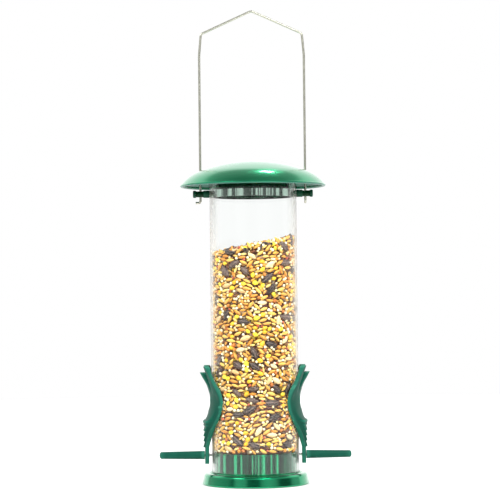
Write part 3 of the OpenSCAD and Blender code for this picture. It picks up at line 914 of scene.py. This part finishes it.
class FEEDER_OT_seed(bpy.types.Operator):
    """Fills the tube with mixed seed, and heaps some in the mouths of the ports."""

    bl_idname = "feeder.seed"
    bl_label = "Seed"

    def execute(self, context):
        sizes = context.scene.feeder_sizes
        slope, axis_z, bore_r = sizes.seed_slope, sizes.port_axis / MM, sizes.port_bore / MM / 2
        draw = random.Random(sizes.seed_random)
        wall_r = BORE_R - WALL_GAP
        low = SEED_LOW + FLOOR_GAP
        seeds = wall_layer(draw, wall_r, low, slope, 0.86, 0.6, (0.0, 1.0))
        seeds += wall_layer(draw, wall_r - LAYER_STEP, low, slope, 0.9, 0.8, (-0.9, -0.45))

        def on_top(kind):
            r, a = (BORE_R - 2.5) * math.sqrt(draw.random()), draw.uniform(0, 2 * math.pi)
            x, y = r * math.cos(a), r * math.sin(a)
            return x, y, slope_height(x, slope) - kind[2] / 2 - draw.uniform(0, 1.6)

        def in_mouth(side):
            def spot(kind):
                x = draw.uniform(BORE_R - 9.5, TUBE_R - 1.0)
                reach = bore_r - 0.9 if x > BORE_R - 4 else bore_r + 1.2
                y = draw.uniform(-reach, reach)
                floor = axis_z - math.sqrt(max(reach * reach - y * y, 0))
                top = axis_z + 2.5 - (x - BORE_R + 9.5) * 0.52
                if kind[0] > 6 or floor + kind[2] / 2 > top:
                    return None
                return side * x, y, draw.uniform(floor + kind[2] / 2, top)
            return spot

        weights = {k: v[4] for k, v in SEED_KINDS.items()}
        seeds += loose_seeds(draw, SEEDS_ON_TOP, on_top, weights)
        for side in (1, -1):
            seeds += loose_seeds(draw, SEEDS_IN_MOUTH, in_mouth(side), weights)
        for kind, settings in SEED_KINDS.items():
            chosen = [seed[1:] for seed in seeds if seed[0] == kind]
            seed_object(kind, chosen, seed_material(kind, *settings[5:]))

        bm = bmesh.new()
        heap_r = wall_r - HEAP_DEPTH
        bmesh.ops.create_cone(
            bm, cap_ends=True, segments=64, radius1=heap_r, radius2=heap_r, depth=SEED_HIGH,
        )
        bmesh.ops.translate(bm, vec=(0, 0, SEED_HIGH / 2 + SEED_LOW), verts=bm.verts)
        top_z = slope_height(0, slope) - LAYER_STEP
        cut = bmesh.ops.bisect_plane(
            bm, geom=bm.verts[:] + bm.edges[:] + bm.faces[:], plane_co=(0, 0, top_z),
            plane_no=(-math.sin(slope), 0, math.cos(slope)), clear_outer=True,
        )["geom_cut"]
        bmesh.ops.edgenet_fill(bm, edges=[g for g in cut if isinstance(g, bmesh.types.BMEdge)])
        bmesh.ops.scale(bm, vec=(MM, MM, MM), verts=bm.verts)
        add_piece("seed_heap", bm, heap_material(), ["seed_fill"])
        return {"FINISHED"}


# ---- Stage ----

# Distances, heights and width of view in metres, and roll in degrees
CAMERA_AWAY = 1.43
CAMERA_HEIGHT = 0.142
VIEW_WIDTH = 0.3735
VIEW_MIDDLE = 0.174
VIEW_LEFT = -0.0026
VIEW_ROLL = 0.6

LIT_HEIGHT = 0.15
FLOOR_R = 1.2
BRIGHTEST = 1.4

# Name, bearing, rise, distance, width, height and power of the soft boxes
SOFT_BOXES = (
    ("box_right", 24.5, 38, 1.3, 0.5, 0.36, 9.0),
    ("box_left", -50, 38, 1.3, 0.45, 0.5, 3.0),
    ("strip_left", -38.5, 38, 1.25, 0.07, 0.36, 1.4),
    ("box_back", 162, 64.4, 1.246, 0.15, 0.14, 1.6),
)

# Brightness of the studio's panels by bearing from the camera's side, in degrees; positive is to the right
STUDIO = (
    (-180, 1.4), (-130, 1.4), (-124, 0.35), (-118, 0.7), (-62, 0.45), (-56, 0.15), (-50, 0.2), (-45, 0.85),
    (-22, 0.7), (-17, 0.08), (8, 0.05), (13, 0.55), (29, 0.85), (48, 0.5), (54, 0.1), (82, 0.1), (87, 0.6),
    (104, 0.7), (108, 0.35), (113, 1.2), (180, 1.4),
)


def soft_box(name, bearing, rise, away, width, height, power):
    """An area light on a bearing from the camera's side, in degrees; positive is to the right."""
    lamp = bpy.data.lights.new(name, "AREA")
    lamp.shape = "RECTANGLE"
    lamp.size, lamp.size_y, lamp.energy = width, height, power
    thing = bpy.data.objects.new(name, lamp)
    a, e = math.radians(bearing), math.radians(rise)
    toward = Vector((math.sin(a) * math.cos(e), -math.cos(a) * math.cos(e), math.sin(e)))
    thing.location = toward * away + Vector((0, 0, LIT_HEIGHT))
    thing.rotation_euler = toward.to_track_quat("Z", "Y").to_euler()
    thing.visible_camera = False
    thing.visible_transmission = False
    bpy.context.scene.collection.objects.link(thing)


def pale_floor(scene):
    """A pale disc under the feeder."""
    bm = bmesh.new()
    bmesh.ops.create_circle(bm, cap_ends=True, segments=64, radius=FLOOR_R)
    mesh = bpy.data.meshes.new("floor")
    bm.to_mesh(mesh)
    bm.free()
    material, tree, out = new_material("pale_floor")
    skin = use_group(tree, "moulded_skin", {
        "Colour": scene.feeder_colours.floor, "Depth": 0.02, "Cloud Scale": 3.0, "Grain Scale": 300.0,
        "Roughness": 0.8, "Unevenness": 0.05,
    })
    surface(tree, out, {"Base Color": skin["Colour"], "Roughness": skin["Roughness"]})
    mesh.materials.append(material)
    floor = bpy.data.objects.new("floor", mesh)
    scene.collection.objects.link(floor)


def studio_lights(scene):
    """Soft boxes round the feeder and a wide soft light from above."""
    for box in SOFT_BOXES:
        soft_box(*box)
    sky = bpy.data.lights.new("sky", "SUN")
    sky.energy, sky.angle = 1.7, math.radians(80)
    over = bpy.data.objects.new("sky", sky)
    over.visible_glossy = False
    scene.collection.objects.link(over)


def surroundings(scene):
    """Panels of light and shade round the horizon, a paler back, and a darker ceiling."""
    world = bpy.data.worlds.new("surroundings")
    scene.world = world
    world.use_nodes = True
    tree = world.node_tree
    tree.nodes.clear()
    axes = put(tree, "ShaderNodeSeparateXYZ", {
        0: put(tree, "ShaderNodeTexCoord").outputs["Generated"]}).outputs
    toward = calculate(tree, "ARCTAN2", axes["X"], calculate(tree, "MULTIPLY", axes["Y"], -1.0))
    toward = calculate(tree, "MULTIPLY_ADD", toward, 0.5 / math.pi)
    toward.node.inputs[2].default_value = 0.5
    panels = put(tree, "ShaderNodeValToRGB", {"Fac": toward})
    ramp = panels.color_ramp
    for bearing, level in STUDIO:
        element = ramp.elements.new((bearing + 180) / 360)
        element.color = (*[level / BRIGHTEST] * 3, 1)
    ramp.elements.remove(ramp.elements[0])
    low = calculate(tree, "MULTIPLY", panels.outputs[0], BRIGHTEST)
    behind = put(tree, "ShaderNodeMapRange", {
        "Value": axes["Y"], "From Min": -0.2, "From Max": 0.3, "To Min": 0.65, "To Max": BRIGHTEST,
    }, interpolation_type="SMOOTHSTEP").outputs[0]
    above = put(tree, "ShaderNodeMapRange", {
        "Value": axes["Z"], "From Min": 0.70, "From Max": 0.80, "To Min": 1.0, "To Max": 0.36,
    }, interpolation_type="SMOOTHSTEP").outputs[0]
    high = calculate(tree, "MULTIPLY", behind, above)
    rise = put(tree, "ShaderNodeMapRange", {
        "Value": calculate(tree, "ABSOLUTE", axes["Z"]), "From Min": 0.25, "From Max": 0.5,
    }, interpolation_type="SMOOTHSTEP").outputs[0]
    level = put(tree, "ShaderNodeMix", {"Factor": rise, "A": low, "B": high}).outputs[0]
    path = put(tree, "ShaderNodeLightPath").outputs
    seen = calculate(tree, "MAXIMUM", path["Is Camera Ray"], path["Is Transmission Ray"])
    level = put(tree, "ShaderNodeMix", {"Factor": seen, "A": level, "B": 1.0}).outputs[0]
    sky = put(tree, "ShaderNodeBackground", {"Color": (1.0, 1.0, 1.0), "Strength": level})
    out = tree.nodes.new("ShaderNodeOutputWorld")
    tree.links.new(sky.outputs[0], out.inputs["Surface"])


def view_camera(scene):
    """A long lens from the front, a little above the ports."""
    lens = bpy.data.cameras.new("camera")
    lens.sensor_width = 36.0
    lens.lens = 36.0 * CAMERA_AWAY / VIEW_WIDTH
    lens.clip_start, lens.clip_end = 0.01, 50.0
    camera = bpy.data.objects.new("camera", lens)
    camera.location = (VIEW_LEFT, -CAMERA_AWAY, CAMERA_HEIGHT)
    rise = math.atan2(VIEW_MIDDLE - CAMERA_HEIGHT, CAMERA_AWAY)
    roll = Matrix.Rotation(math.radians(-VIEW_ROLL), 3, "Z")
    turn = Matrix.Rotation(math.pi / 2 + rise, 3, "X") @ roll
    camera.rotation_euler = turn.to_euler()
    scene.collection.objects.link(camera)
    scene.camera = camera


class FEEDER_OT_stage(bpy.types.Operator):
    """Sets up the pale floor, the soft lights, the surroundings and the camera."""

    bl_idname = "feeder.stage"
    bl_label = "Stage"

    def execute(self, context):
        scene = context.scene
        pale_floor(scene)
        studio_lights(scene)
        surroundings(scene)
        view_camera(scene)
        scene.view_settings.view_transform = "Standard"
        return {"FINISHED"}


# ---- Panel and registration ----

OPERATORS = (
    FEEDER_OT_tube,
    FEEDER_OT_collar,
    FEEDER_OT_bail,
    FEEDER_OT_roof,
    FEEDER_OT_ports,
    FEEDER_OT_perches,
    FEEDER_OT_base,
    FEEDER_OT_seed,
    FEEDER_OT_stage,
)


class FEEDER_PT_pieces(bpy.types.Panel):
    """Lists the feeder's sizes, colours and pieces."""

    bl_idname = "FEEDER_PT_pieces"
    bl_label = "Hanging Seed Feeder"
    bl_space_type = "VIEW_3D"
    bl_region_type = "UI"
    bl_category = "Feeder"

    def draw(self, context):
        scene = context.scene
        for settings in (scene.feeder_sizes, scene.feeder_colours):
            box = self.layout.box()
            for key in settings.__annotations__:
                box.prop(settings, key)
        for operator in OPERATORS:
            self.layout.operator(operator.bl_idname)


CLASSES = (FeederColours, FeederSizes, *OPERATORS, FEEDER_PT_pieces)


def register():
    for item in CLASSES:
        bpy.utils.register_class(item)
    bpy.types.Scene.feeder_colours = PointerProperty(type=FeederColours)
    bpy.types.Scene.feeder_sizes = PointerProperty(type=FeederSizes)


def unregister():
    del bpy.types.Scene.feeder_sizes
    del bpy.types.Scene.feeder_colours
    for item in reversed(CLASSES):
        bpy.utils.unregister_class(item)


def main():
    register()
    for operator in OPERATORS:
        family, action = operator.bl_idname.split(".")
        getattr(getattr(bpy.ops, family), action)()


if __name__ == "__main__":
    main()
